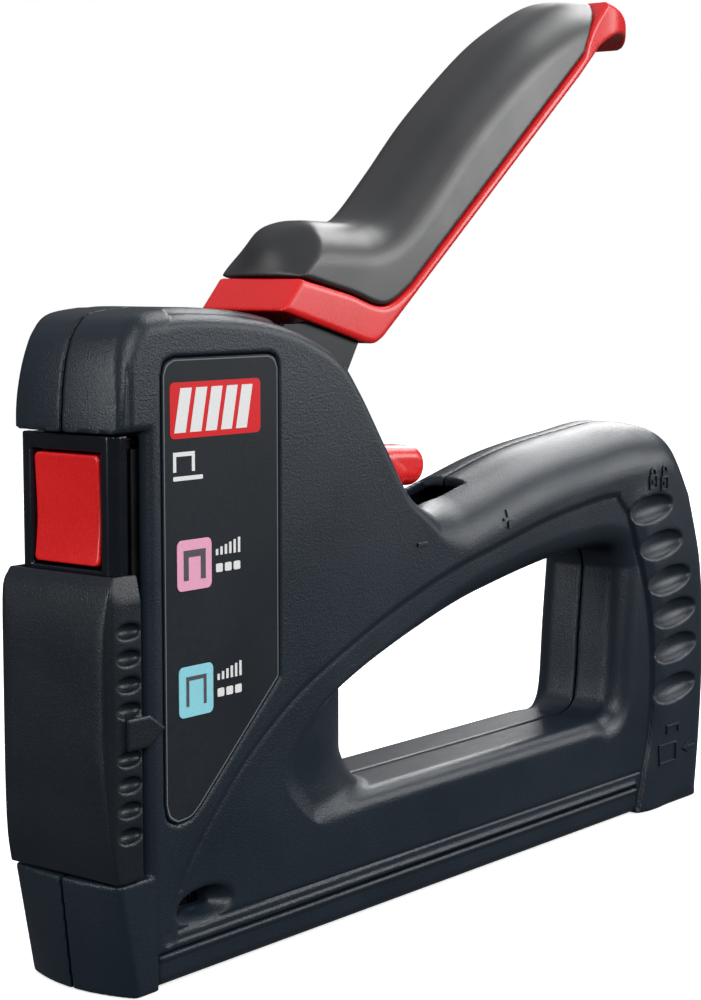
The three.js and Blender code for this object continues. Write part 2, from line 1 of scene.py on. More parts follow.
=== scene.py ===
"""Looks of a hand staple gun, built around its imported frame.

Every moulded piece is a field of signed distances in millimetres, negative inside, sampled on a
grid and turned into a mesh. +X runs to the back of the tool, -Y is the user's left, +Z is up.
"""

import json
import math

import bmesh
import bpy
import numpy as np
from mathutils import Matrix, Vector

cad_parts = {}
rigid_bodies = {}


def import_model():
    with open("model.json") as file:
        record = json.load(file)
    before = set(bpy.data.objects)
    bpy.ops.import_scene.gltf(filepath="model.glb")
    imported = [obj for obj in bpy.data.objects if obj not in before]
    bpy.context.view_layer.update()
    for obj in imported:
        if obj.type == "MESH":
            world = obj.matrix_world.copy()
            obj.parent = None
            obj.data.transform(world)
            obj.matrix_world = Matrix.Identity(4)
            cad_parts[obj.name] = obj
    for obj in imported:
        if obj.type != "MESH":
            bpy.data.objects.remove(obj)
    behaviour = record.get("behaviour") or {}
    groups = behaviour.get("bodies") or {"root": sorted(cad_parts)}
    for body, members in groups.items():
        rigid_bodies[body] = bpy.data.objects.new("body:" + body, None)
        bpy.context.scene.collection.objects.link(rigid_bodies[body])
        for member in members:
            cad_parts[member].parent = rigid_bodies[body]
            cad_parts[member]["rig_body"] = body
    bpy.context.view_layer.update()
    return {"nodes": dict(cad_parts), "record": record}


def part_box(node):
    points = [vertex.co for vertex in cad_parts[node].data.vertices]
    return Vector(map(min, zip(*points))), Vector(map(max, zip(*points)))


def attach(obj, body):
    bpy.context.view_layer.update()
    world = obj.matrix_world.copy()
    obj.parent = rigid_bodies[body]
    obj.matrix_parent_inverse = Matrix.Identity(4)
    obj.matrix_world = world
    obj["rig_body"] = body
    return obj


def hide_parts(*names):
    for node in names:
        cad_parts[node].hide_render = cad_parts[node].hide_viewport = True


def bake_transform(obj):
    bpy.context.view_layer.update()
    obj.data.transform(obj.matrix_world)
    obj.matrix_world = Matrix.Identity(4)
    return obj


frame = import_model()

import openvdb
from mathutils import Vector
from mathutils.bvhtree import BVHTree

MM = 0.001
COARSE = 1.0

# Sizes in millimetres, shared by several pieces. S is the distance from the mid plane.
HALF_WIDTH = 13.0
WALL = 2.1
INSIDE = HALF_WIDTH - WALL
SEAM = 0.15  # half the joint between the two shells
GAP = 0.3  # play between neighbouring pieces
FAR = 200  # safely outside the tool
FRONT_X = -101.0  # front face of the cover
SHELL_FRONT_X = -92.0
CROWN_Z = 117.5  # top of the head
BROW_Z = 96.8  # underside of the block over the cover
NOSE_Z = 20.5  # top of the end under the cover
STRIP_TOP_Z = 6.2
STRIP_FRONT_X = -88.4
REAR_GRIP_X = 68.9  # where the rear grips begin, at the bottom
REAR_GRIP_HALF_WIDTH = 14.1
HOLE_FLOOR_Z = 24.0
HOLE_FRONT_X = -28.6  # front of the finger hole in the mid plane
FLARE_X = -54.6  # front of its flare, at the side
LABEL_DEPTH = 0.9
SCREW_HEAD_Y = 10.2

# Axes across the tool, as X and Z.
PIVOT = (-48.7, 100.0)
ADJUSTER = (-16.0, 66.0)
CATCH = (-93.6, 92.6)
DRIVER_X = -82.5  # upright axis of the driver and its spring
ROD_Z = 12.2  # axis of the magazine's rod, along X
SCREWS = [(-61, 110.2), (-66, 32), (-44, 67), (16, 70), (58, 74), (90.5, 63.5)]


# ---- fields ----

class Grid:
    """Sample points of a box, as three arrays that broadcast against each other."""

    def __init__(self, low, high, step):
        self.low = np.array(low, float)
        self.step = step
        axes = [np.arange(a, b + step, step, dtype=np.float32) for a, b in zip(low, high)]
        self.x = axes[0].reshape(-1, 1, 1)
        self.y = axes[1].reshape(1, -1, 1)
        self.z = axes[2].reshape(1, 1, -1)
        self.s = np.abs(self.y)  # distance from the mid plane


def curve_through(points, steps=8):
    """Points of a smooth curve through the given ones, without the first."""
    ends = [points[0], *points, points[-1]]
    found = []
    for a, b, c, d in zip(ends, ends[1:], ends[2:], ends[3:]):
        a, b, c, d = (np.array(p, float) for p in (a, b, c, d))
        for t in np.arange(1, steps + 1) / steps:
            found.append(0.5 * (2 * b + (c - a) * t + (2 * a - 5 * b + 4 * c - d) * t * t
                                + (3 * b - a - 3 * c + d) * t ** 3))
    return found


def outline(start, *stretches):
    """A closed outline. Each stretch is ("line", ...) or ("curve", ...) and the points on its way."""
    points = [np.array(start, float)]
    for kind, *through in stretches:
        if kind == "curve":
            points += curve_through([points[-1], *through])
        else:
            points += [np.array(p, float) for p in through]
    return np.array(points)


def flat(u, v, points):
    """Signed distance in a plane to a closed outline."""
    u, v = np.broadcast_arrays(u, v)
    nearest = np.full(u.shape, 1e9, np.float32)
    within = np.zeros(u.shape, bool)
    for (u0, v0), (u1, v1) in zip(points, np.roll(points, -1, axis=0)):
        du, dv = u1 - u0, v1 - v0
        length = du * du + dv * dv
        if length < 1e-9:
            continue
        t = np.clip(((u - u0) * du + (v - v0) * dv) / length, 0, 1)
        nearest = np.minimum(nearest, (u - u0 - t * du) ** 2 + (v - v0 - t * dv) ** 2)
        if abs(dv) > 1e-9:
            within ^= ((v0 <= v) != (v1 <= v)) & (u < u0 + (v - v0) * (du / dv))
    return (np.sqrt(nearest) * np.where(within, -1, 1)).astype(np.float32)


def line_distance(u, v, points):
    """Distance in a plane to an open line through the points."""
    u, v = np.broadcast_arrays(u, v)
    nearest = np.full(u.shape, 1e9, np.float32)
    for (u0, v0), (u1, v1) in zip(points[:-1], points[1:]):
        du, dv = u1 - u0, v1 - v0
        t = np.clip(((u - u0) * du + (v - v0) * dv) / (du * du + dv * dv), 0, 1)
        nearest = np.minimum(nearest, (u - u0 - t * du) ** 2 + (v - v0 - t * dv) ** 2)
    return np.sqrt(nearest)


def both(a, b, r=0.0):
    """Where a and b overlap, with the edge between them rounded."""
    return np.minimum(np.maximum(a, b), -r) + np.hypot(np.maximum(a + r, 0), np.maximum(b + r, 0))


def either(a, b, r=0.0):
    """a and b together, with a fillet between them."""
    return np.maximum(np.minimum(a, b), r) - np.hypot(np.maximum(r - a, 0), np.maximum(r - b, 0))


def without(a, b, r=0.0):
    """a with b cut out of it, and the edge between them rounded."""
    return both(a, -b, r)


def slab(v, low, high):
    """The room between two parallel planes."""
    return np.maximum(low - v, v - high)


def box(g, x, s, z):
    """A box given by its limits in X, in distance from the mid plane, and in Z."""
    return np.maximum(np.maximum(slab(g.x, *x), g.s - s), slab(g.z, *z))


def circle(u, v, centre, radius):
    return np.hypot(u - centre[0], v - centre[1]) - radius


def ellipsoid(offsets, radii):
    """Roughly the distance to an ellipsoid, from the offsets to its centre."""
    return (np.sqrt(sum((offset / r) ** 2 for offset, r in zip(offsets, radii))) - 1) * min(radii)


def bored(body, g, centre, radius, reach=FAR):
    """A body with a hole across the tool, as deep as the given distance from the mid plane."""
    return np.maximum(body, -np.maximum(circle(g.x, g.z, centre, radius), g.s - reach))


def ramp(t, start, end):
    """0 before start, 1 after end, and smooth between them."""
    t = np.clip((t - start) / (end - start), 0, 1)
    return t * t * (3 - 2 * t)


# ---- meshes ----

def surface(grid, field):
    """Corner points in millimetres and faces of the surface where the field is 0."""
    band = 3 * grid.step
    volume = openvdb.FloatGrid(band)
    volume.copyFromArray(np.ascontiguousarray(np.clip(field, -band, band), dtype=np.float32))
    points, faces = volume.convertToQuads(0.0)
    return grid.low + np.asarray(points, float) * grid.step, np.asarray(faces)


def placed(name, data):
    """An object in the scene that shows the given data."""
    made = bpy.data.objects.new(name, data)
    bpy.context.scene.collection.objects.link(made)
    return made


def new_object(name, points, faces, material, smooth=True):
    """A mesh object from points in millimetres."""
    mesh = bpy.data.meshes.new(name)
    mesh.from_pydata((np.asarray(points) * MM).tolist(), [], [list(map(int, f)) for f in faces])
    mesh.materials.append(material)
    if smooth:
        mesh.shade_smooth()
    return placed(name, mesh)


def facing_out(points, faces):
    """The same faces, turned where needed so that the closed surface faces outward."""
    p = points[faces]
    volume = np.einsum("ij,ij->i", p[:, 0], np.cross(p[:, 1], p[:, 2])).sum()
    return faces if volume > 0 else faces[:, ::-1]


def moulded(name, grid, field, node, side=1):
    """A piece from a field. A side of -1 mirrors it across the mid plane."""
    points, faces = surface(grid, field)
    points = points * (1, side, 1)
    stand_in(new_object(name, points, facing_out(points, faces), FINISHES[SLOTS[node]]), node)


def stand_in(piece, node):
    """The piece takes the place of a CAD node: it joins the node's body, and the node is hidden."""
    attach(piece, frame["nodes"][node]["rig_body"])
    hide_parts(node)


def extruded(name, outlines, y, material, bevel=0.0):
    """Closed side outlines carried along Y, as one mesh; its edges are bevelled when a bevel width is
    given.
    """
    mesh = bmesh.new()
    for points in outlines:
        near = [mesh.verts.new((x * MM, y[0] * MM, z * MM)) for x, z in points]
        face = mesh.faces.new(near)
        grown = bmesh.ops.extrude_face_region(mesh, geom=[face])["geom"]
        moved = [part for part in grown if isinstance(part, bmesh.types.BMVert)]
        bmesh.ops.translate(mesh, verts=moved, vec=(0, (y[1] - y[0]) * MM, 0))
    bmesh.ops.recalc_face_normals(mesh, faces=mesh.faces)
    data = bpy.data.meshes.new(name)
    mesh.to_mesh(data)
    mesh.free()
    data.materials.append(material)
    piece = placed(name, data)
    if bevel:
        soften(piece, bevel)
    return piece


def soften(piece, width, segments=2):
    """Small rounded edges, shaded smoothly."""
    bevel = piece.modifiers.new("edges", "BEVEL")
    bevel.width = width * MM
    bevel.segments = segments
    bevel.limit_method = "ANGLE"
    bevel.angle_limit = math.radians(38)
    bevel.harden_normals = True
    piece.data.shade_smooth()


def ring_faces(rings, sides):
    """Faces that join rings of points one after another, with both ends closed."""
    faces = []
    for ring in range(rings - 1):
        for k in range(sides):
            j = (k + 1) % sides
            a, b = ring * sides, (ring + 1) * sides
            faces.append((a + k, a + j, b + j, b + k))
    return faces + [tuple(range(sides))[::-1], tuple((rings - 1) * sides + k for k in range(sides))]


def turned(name, node, profile, to_world, sides=40):
    """A piece for a node, from a profile of (radius, height) points swept round its axis."""
    points = []
    for r, h in profile:
        for i in range(sides):
            angle = 2 * math.pi * i / sides
            points.append(to_world(r * math.cos(angle), r * math.sin(angle), h))
    piece = new_object(name, points, ring_faces(len(profile), sides), FINISHES[SLOTS[node]])
    stand_in(outward(piece), node)


def outward(piece):
    """Turns every face of a closed piece outward."""
    mesh = bmesh.new()
    mesh.from_mesh(piece.data)
    bmesh.ops.recalc_face_normals(mesh, faces=mesh.faces)
    mesh.to_mesh(piece.data)
    mesh.free()
    return piece


def prism_faces(first, n):
    """Faces of a prism whose two ends of n points follow each other from the given point on."""
    sides = [(first + k, first + (k + 1) % n, first + n + (k + 1) % n, first + n + k) for k in range(n)]
    return sides + [tuple(range(first, first + n)), tuple(reversed(range(first + n, first + 2 * n)))]


def rounded_box(x, z, w, h, r, steps=5):
    """A rectangle with its low corner at x, z and rounded corners."""
    left, right, low, high = x + r, x + w - r, z + r, z + h - r
    points = []
    for quarter, (cx, cz) in enumerate(((right, low), (right, high), (left, high), (left, low))):
        for k in range(steps + 1):
            angle = math.radians(90 * (quarter - 1 + k / steps))
            points.append((cx + r * math.cos(angle), cz + r * math.sin(angle)))
    return points


# ---- materials ----

class Nodes:
    """A material's node tree, with short ways to add and join nodes."""

    def __init__(self, name):
        self.material = bpy.data.materials.new(name)
        self.material.use_nodes = True
        self.tree = self.material.node_tree
        self.shader = self.tree.nodes["Principled BSDF"]

    def add(self, kind, **values):
        node = self.tree.nodes.new("ShaderNode" + kind)
        for key, value in values.items():
            if hasattr(node, key):
                setattr(node, key, value)
            else:
                node.inputs[key.replace("_", " ").title()].default_value = value
        return node

    def join(self, out, into):
        self.tree.links.new(out, into)

    def place(self):
        """Position on the piece, in millimetres."""
        coordinates = self.add("TexCoord")
        scaled = self.add("VectorMath", operation="SCALE")
        scaled.inputs["Scale"].default_value = 1 / MM
        self.join(coordinates.outputs["Object"], scaled.inputs[0])
        return scaled.outputs[0]

    def noise(self, place, size, detail=2.0, roughness=0.5):
        """Noise whose features are about size millimetres across."""
        node = self.add("TexNoise", scale=1 / size, detail=detail, roughness=roughness)
        self.join(place, node.inputs["Vector"])
        return node.outputs["Fac"]

    def cells(self, place, size):
        """Distance to the nearest of many points spaced about size millimetres apart."""
        node = self.add("TexVoronoi", scale=1 / size)
        self.join(place, node.inputs["Vector"])
        return node.outputs["Distance"]

    def spread(self, value, low, high, from_low=0.3, from_high=0.7):
        """A value between from_low and from_high carried over to the range low to high."""
        node = self.add("MapRange")
        for key, number in (("From Min", from_low), ("From Max", from_high),
                            ("To Min", low), ("To Max", high)):
            node.inputs[key].default_value = number
        self.join(value, node.inputs["Value"])
        return node.outputs["Result"]

    def math(self, operation, a, b):
        node = self.add("Math", operation=operation)
        for socket, value in zip(node.inputs, (a, b)):
            if isinstance(value, (int, float)):
                socket.default_value = value
            else:
                self.join(value, socket)
        return node.outputs[0]

    def blend(self, share, dark, light):
        """A colour between two others."""
        node = self.add("Mix", data_type="RGBA")
        node.inputs["A"].default_value = (*dark, 1)
        node.inputs["B"].default_value = (*light, 1)
        self.join(share, node.inputs["Factor"])
        return node.outputs["Result"]

    def bump(self, height, depth, strength=1.0, under=None):
        """Relief of the given depth in millimetres."""
        node = self.add("Bump", strength=strength)
        node.inputs["Distance"].default_value = depth * MM
        self.join(height, node.inputs["Height"])
        if under:
            self.join(under, node.inputs["Normal"])
        return node.outputs["Normal"]

    def paint(self, colour, roughness, normal=None):
        """Joins colour, roughness and any relief to the shader and hands back the material."""
        for key, value in (("Base Color", colour), ("Roughness", roughness), ("Normal", normal)):
            if value is not None:
                self.join(value, self.shader.inputs[key])
        return self.material

    def worn_edges(self, amount):
        """A share that rises on sharp outer edges, broken up by noise."""
        geometry = self.add("NewGeometry")
        edge = self.spread(geometry.outputs["Pointiness"], 0, 1, 0.52, 0.62)
        broken = self.spread(self.noise(self.place(), 1.6, 3), 0, amount, 0.35, 0.7)
        return self.math("MULTIPLY", edge, broken)


def moulded_plastic(name, colour, roughness, grain, depth, specular=0.5, coat=0.0):
    """Moulded plastic with a spark-eroded grain, slightly uneven gloss and rubbed edges."""
    n = Nodes(name)
    place = n.place()
    fine = n.noise(place, grain, 3, 0.6)
    pits = n.cells(place, grain * 1.7)
    grainy = n.math("ADD", fine, n.math("MULTIPLY", pits, 0.6))
    cloudy = n.noise(place, 18, 3)
    worn = n.worn_edges(0.5)
    dark = tuple(0.86 * c for c in colour)
    light = tuple(1.12 * c + 0.004 for c in colour)
    tone = n.math("ADD", n.spread(cloudy, 0.1, 0.6), worn)
    rough = n.math("ADD", n.spread(cloudy, roughness - 0.03, roughness + 0.04),
                   n.spread(fine, -0.05, 0.05))
    n.shader.inputs["Specular IOR Level"].default_value = specular
    n.shader.inputs["Coat Weight"].default_value = coat
    n.shader.inputs["Coat Roughness"].default_value = 0.12
    return n.paint(n.blend(tone, dark, light), rough, n.bump(grainy, depth))


def metal(name, colour, roughness, brush=(0.4, 0.02, 0.02), depth=0.01):
    """Rolled or drawn steel, brushed along the direction in which brush is largest."""
    n = Nodes(name)
    place = n.place()
    stretched = n.add("VectorMath", operation="MULTIPLY")
    stretched.inputs[1].default_value = brush
    n.join(place, stretched.inputs[0])
    lines = n.noise(stretched.outputs[0], 0.02, 4, 0.6)
    stains = n.noise(place, 6, 3)
    n.shader.inputs["Metallic"].default_value = 1.0
    dark = tuple(0.78 * c for c in colour)
    rough = n.math("ADD", n.spread(stains, roughness - 0.05, roughness + 0.08),
                   n.spread(lines, -0.04, 0.06))
    return n.paint(n.blend(n.spread(stains, 0.3, 1), dark, colour), rough, n.bump(lines, depth))


def printed(name, colour):
    """Screen-printed ink: thin, satin, with a little unevenness."""
    n = Nodes(name)
    place = n.place()
    specks = n.noise(place, 0.35, 3)
    dark = tuple(0.9 * c for c in colour)
    n.shader.inputs["Specular IOR Level"].default_value = 0.2
    return n.paint(n.blend(n.spread(specks, 0.2, 1), dark, colour),
                   n.spread(specks, 0.34, 0.46), n.bump(specks, 0.01))


def rubber(name, colour):
    """Dull rubber with a coarse skin."""
    n = Nodes(name)
    place = n.place()
    specks = n.noise(place, 0.4, 4)
    return n.paint(n.blend(specks, colour, tuple(1.6 * c for c in colour)),
                   n.spread(specks, 0.75, 0.9), n.bump(specks, 0.05))


SLOTS = {part["node"]: part["material_slot"] for part in frame["record"]["subparts"]}
PLASTICS = {  # colour, roughness, grain size, relief, specular, coat
    "shell_plastic": ((0.008, 0.0155, 0.025), 0.34, 0.24, 0.050, 0.36),
    "cover_plastic": ((0.006, 0.0105, 0.016), 0.33, 0.22, 0.042, 0.34),
    "gloss_black_plastic": ((0.004, 0.006, 0.010), 0.16, 0.5, 0.002, 0.35),
    "red_plastic": ((0.76, 0.007, 0.008), 0.28, 0.6, 0.004, 0.45, 0.06),
    "soft_grip": ((0.008, 0.009, 0.011), 0.42, 0.22, 0.006, 0.8),
    "label_film": ((0.010, 0.014, 0.019), 0.46, 0.24, 0.02, 0.18),
}
METALS = {  # colour, roughness, brushing
    "bright_steel": ((0.62, 0.63, 0.64), 0.26),
    "black_steel": ((0.05, 0.052, 0.055), 0.40),
    "spring_steel": ((0.42, 0.43, 0.44), 0.30),
    "staple_wire": ((0.70, 0.70, 0.69), 0.22, (0.9, 0.03, 0.03)),
}
INK_COLOURS = {
    "red": (0.72, 0.012, 0.018),
    "white": (0.86, 0.86, 0.86),
    "pink": (0.90, 0.42, 0.60),
    "blue": (0.30, 0.72, 0.82),
    "grey": (0.10, 0.09, 0.11),
    # pale: a painted highlight, the light caught by the label film's cut edge
    "pale": (0.16, 0.18, 0.20),
}
FINISHES = {name: moulded_plastic(name, *look) for name, look in PLASTICS.items()}
FINISHES |= {name: metal(name, *look) for name, look in METALS.items()}
FINISHES["bumper_rubber"] = rubber("bumper_rubber", (0.012, 0.012, 0.013))
INKS = {name: printed(f"{name}_ink", colour) for name, colour in INK_COLOURS.items()}


# ---- the two half shells ----

def side_outline():
    return outline(
        (SHELL_FRONT_X, -5),
        ("line", (SHELL_FRONT_X, 108)),
        ("curve", (-91, 113.4), (-86, CROWN_Z - 0.6), (-77, CROWN_Z), (-61, 116.4), (-48, 113.4),
         (-37.6, 108.4), (-31.4, 101.4), (-23.6, 90), (-15.6, 79.6), (-7, 76.6)),
        ("curve", (10.6, 81), (31, 85.6), (54.5, 88.4), (72, 89.4), (84, 85), (93, 73.5)),
        ("curve", (98.6, 58), (100.6, 44), (100.9, 30), (99.6, 12), (97.4, -5)),
    )


STEP_LINE = ((-83.2, 16.5), (-80.4, 21.6), (-69.8, 33), (-61.7, 39.7), (-50.5, 46.8), (-35.8, 53.3),
             (-20.3, 59.1), (-3.9, 64), (13.5, 67.7), (31.9, 71.4), (51.6, 73.9), (59, 74))
GRIP_LINE = ((62.5, 70.7), (66.1, 63.6), (69.8, 55.3), (72.6, 46.9), (74.2, 37.4), (74.5, 25.8),
             (73.5, 16.6), (71.4, 9.9), (69.1, 0.8))


def loop_outline():
    """The smooth loop around the finger hole, under the grained upper part."""
    return outline(STEP_LINE[0], ("curve", *STEP_LINE[1:]), ("line", GRIP_LINE[0]),
                   ("curve", *GRIP_LINE[1:]), ("line", (69, -5), (-86, -5), (-86, 9.6)))


def rear_outline():
    """The widened rear grips, behind their groove."""
    return outline(GRIP_LINE[0], ("curve", *GRIP_LINE[1:]),
                   ("line", (69, -5), (130, -5), (130, 110), (54, 110), (56, 86)))


def half_width(g):
    """Half width of the body at each point of its side."""
    rear = flat(g.x, g.z, rear_outline())
    loop = flat(g.x, g.z, loop_outline())
    fade = 4.5 + 11 * ramp(g.z, 68, 80)
    widened = (REAR_GRIP_HALF_WIDTH - HALF_WIDTH) * ramp(-rear / fade, -0.25, 1)
    inset = (0.2 + 0.35 * ramp(g.x, -60, 0)) * ramp(-loop, -0.1, 0.6)
    step = line_distance(g.x, g.z, curve_through(STEP_LINE))
    groove = line_distance(g.x, g.z, curve_through(GRIP_LINE))
    lower = np.maximum(np.abs(g.z - 9.6), slab(g.x, -87, 70))
    bead = 0.4 * ramp(-np.maximum(np.abs(g.z - 7.3), slab(g.x, -87, 68)), -0.7, 0)
    cut = 0.4 * ramp(-step, -0.7, 0) + 0.4 * ramp(-lower, -0.5, 0) + 0.9 * ramp(-groove, -0.6, 0)
    return HALF_WIDTH + widened + bead - inset - cut


def rim_radius(g):
    """Rounding between the side and the top: tight on the head, nearly half round on the grip."""
    grip = ramp(g.x, -16, 4) * ramp(g.z, 52, 68)
    rear = ramp(g.x, 70, 82) * ramp(g.z, -6, 2)
    return (2.4 + 9.2 * grip) * (1 - rear) + 8.2 * rear


def finger_hole(g):
    """The hole as seen from the side, with a plan that flares it open towards the front."""
    side = outline(
        (-46, HOLE_FLOOR_Z - 1.4), ("line", (-30, HOLE_FLOOR_Z), (56, HOLE_FLOOR_Z)),
        ("curve", (60, 25.6), (61.6, 30), (62.6, 42), (64.2, 57)),
        ("curve", (61.6, 61.4), (50, 62.6), (28, 60.6), (-8, 54.4), (-27.2, 49.9), (-43.9, 43.4)),
        ("curve", (-51.4, 38), (-53.2, 31), (-46, HOLE_FLOOR_Z - 1.4)),
    )
    plan = outline((FLARE_X, 25), ("line", (FLARE_X, HALF_WIDTH + 0.2)),
                   ("curve", (-41.6, 11.2), (-32.2, 6.8), (HOLE_FRONT_X, 0), (-32.2, -6.8)),
                   ("line", (80, -6.8), (80, 25)))
    bow = 6.5 * ((g.z - 34) / 10) ** 2 * ramp(34 - g.z, 0, 4)
    return both(flat(g.x, g.z, side), flat(g.x - bow, g.s, plan), 2.0)


def hole_rounding(g):
    """Rounding of the hole's outer edge: wide at the floor and the back, narrow at the upper front."""
    back = 3.6 + 2.2 * np.maximum(ramp(g.z, 34, 52), ramp(g.x, 50, 60))
    front = 0.8 + 2.8 * ramp(-g.z, -40, -28)
    share = ramp(g.x, -30, 10)
    return back * share + front * (1 - share)


def brow(g):
    """The block over the front cover, bulging a little, with a fine groove where its cheeks begin."""
    bulged = g.x - 0.007 * g.s ** 2
    profile = outline(
        (-84, BROW_Z), ("line", (-97.9, BROW_Z)),
        ("curve", (-97.8, 100.6), (-97.2, 106.4), (-96.2, 110.6), (-94.6, 113.8), (-91.4, 116.4),
         (-84, CROWN_Z - 0.1)),
    )
    block = both(flat(bulged, g.z, profile), g.s - HALF_WIDTH, 1.3 + 2.2 * ramp(g.z, 100, 114))
    groove = np.maximum(np.abs(g.x + 94.4) - 0.35, HALF_WIDTH - 0.45 - g.s)
    return without(block, np.maximum(groove, g.z - 113), 0.15)


def nose(g):
    """The end of the shells under the cover: its front leans back and rounds off downward."""
    drop = (NOSE_Z - g.z) / NOSE_Z
    front = -99.6 + 2.5 * drop + (0.008 + 0.010 * drop) * g.s ** 2
    block = both(both(front - g.x, g.s - 12.9, 1.0), g.z - NOSE_Z, 0.4)
    return np.maximum(block, g.x + 84)


def outer_body(g):
    side = flat(g.x, g.z, side_outline())
    head = ramp(-g.x, 20, 45)
    rim = rim_radius(g)
    panel = both(side + 1.1 * head, g.s - half_width(g), rim)
    crown = both(both(side, g.s - 11.2, 3.6), g.x + 20)
    body = np.maximum(np.minimum(panel, crown), SHELL_FRONT_X - g.x)
    return np.minimum(np.minimum(body, brow(g)), nose(g))


def inner_space(g, skin):
    """The hollow, which leaves a wall under the skin, and the bays and slots that open it."""
    hollow = np.maximum(np.maximum(skin + WALL, g.s - INSIDE), 21.4 - g.z + 1.8 * ramp(g.x, 60, 66))
    spaces = [
        hollow,
        box(g, (-94, -86), INSIDE, (21.4, 96)),
        box(g, (-89.8, FAR), 7.4, (STRIP_TOP_Z, 20.2)),
        box(g, (STRIP_FRONT_X - GAP, REAR_GRIP_X), FAR, (-FAR, STRIP_TOP_Z + GAP)),
        box(g, (91, FAR), 10.4, (2.2, 20.2)),
        box(g, (-92.4, -90.9), 10, (-FAR, 24)),
        box(g, (-91.4, -89.4), 6.2, (-FAR, 24)),
        box(g, (PIVOT[0] - 5.4, -12), INSIDE, (88, FAR)),
        box(g, (-20, 10.6), 5.2, (68, 100)),
    ]
    return np.minimum.reduce([np.broadcast_to(space, skin.shape) for space in spaces])


def bosses(g):
    """Pillars for the screws, bearings for the axles, and the shelf under the plunger's bumper."""
    root = INSIDE + 0.2
    pillars = np.minimum.reduce([circle(g.x, g.z, centre, 3.6) for centre in SCREWS])
    pillars = np.maximum(pillars, g.s - root)
    axle = np.maximum(circle(g.x, g.z, PIVOT, 5), slab(g.s, 9.8, root))
    adjuster = np.maximum(circle(g.x, g.z, ADJUSTER, 4.4), slab(g.s, 5.2, root))
    shelf = box(g, (-89.6, -73), 9.6, (40.4, 43.6))
    web = box(g, (-79, -74), 11.2, (21, 43.6))
    parts = (pillars, axle, adjuster, shelf, web)
    return np.minimum.reduce([np.broadcast_to(part, pillars.shape) for part in parts])


def scallops(g):
    """Six tilted oval scoops in the rear grips."""
    centres = ((71.2, 70.1), (75.8, 61.6), (79.7, 53.1), (82.2, 45.2), (82.9, 36.9), (82.7, 27.5))
    centre_s = 14.5
    tilt = math.radians(5)
    cuts = []
    for x, z in centres:
        u = (g.x - x) * math.cos(tilt) + (g.z - z) * math.sin(tilt)
        v = (g.z - z) * math.cos(tilt) - (g.x - x) * math.sin(tilt)
        cuts.append(ellipsoid((u, v, g.s - centre_s), (9.2, 3.2, 2.8)))
    return np.minimum.reduce(cuts)


def label_outline(i):
    """The label field, drawn i millimetres inside its edge."""
    return outline(
        (-83.8 + i * 0.3, 28.4 + i),
        ("curve", (-80.4, 28.8 + i), (-77.6 - i * 0.7, 30.6 + i * 0.7)),
        ("line", (-56.5 - i, 50.4 + i * 0.5), (-56.5 - i, 106.4)),
        ("curve", (-57.3 - i, 108.6 - i), (-59.4, 109.3 - i)),
        ("line", (-83.8, 109.3 - i)),
        ("curve", (-86.2 + i, 108.4 - i), (-87 + i, 106)),
        ("line", (-87 + i, 32.4)),
        ("curve", (-86.2 + i, 29.6 + i), (-83.8 + i * 0.3, 28.4 + i)),
    )


def sight_window(g):
    """An oval bowl that narrows to a slot, which looks into the magazine."""
    bowl = np.hypot((g.x + 76.8) / 7.9, (g.z - 12.7) / 3.6) * 3.6 - 3.6 + 0.6 * (HALF_WIDTH - g.s)
    slot = both(np.maximum(slab(g.x, -83, -73.4), slab(g.z, 11.8, 15.2)), 3 - g.s)
    return either(np.maximum(bowl, 9.2 - g.s), np.maximum(slot, g.s - 12), 0.3)


def shell_field(g, with_heads):
    """A half shell; only the right one has recesses for the screw heads."""
    skin = without(outer_body(g), finger_hole(g), hole_rounding(g))
    space = inner_space(g, skin)
    skin = both(skin, -g.z, 0.6)
    skin = without(skin, scallops(g), 0.1)
    skin = without(skin, sight_window(g), 0.2)
    pocket = np.maximum(flat(g.x, g.z, label_outline(0)), HALF_WIDTH - LABEL_DEPTH - g.s)
    skin = without(skin, pocket, 0.35)
    body = without(skin, space, 0.25)
    body = np.minimum(body, np.maximum(bosses(g), skin))
    body = without(body, box(g, (91, 120), 5.3, (67, 84)), 0.3)
    body = bored(body, g, PIVOT, 2.8, 12.2)
    body = bored(body, g, ADJUSTER, 2.3, 11.6)
    for centre in SCREWS:
        body = bored(body, g, centre, 1.6, 10.6)
        if with_heads:
            head = np.maximum(circle(g.x, g.z, centre, 3.1), SCREW_HEAD_Y - GAP - g.s)
            body = without(body, head, 0.25)
    return both(body, SEAM - g.s, 0.4)


def make_shells():
    step = 0.4 * COARSE
    g = Grid((-100.2, -step, -1.2), (102.4, 15.6, 119), step)
    moulded("left_half_shell", g, shell_field(g, False), "left_shell", -1)
    moulded("right_half_shell", g, shell_field(g, True), "right_shell")


# ---- the front ----

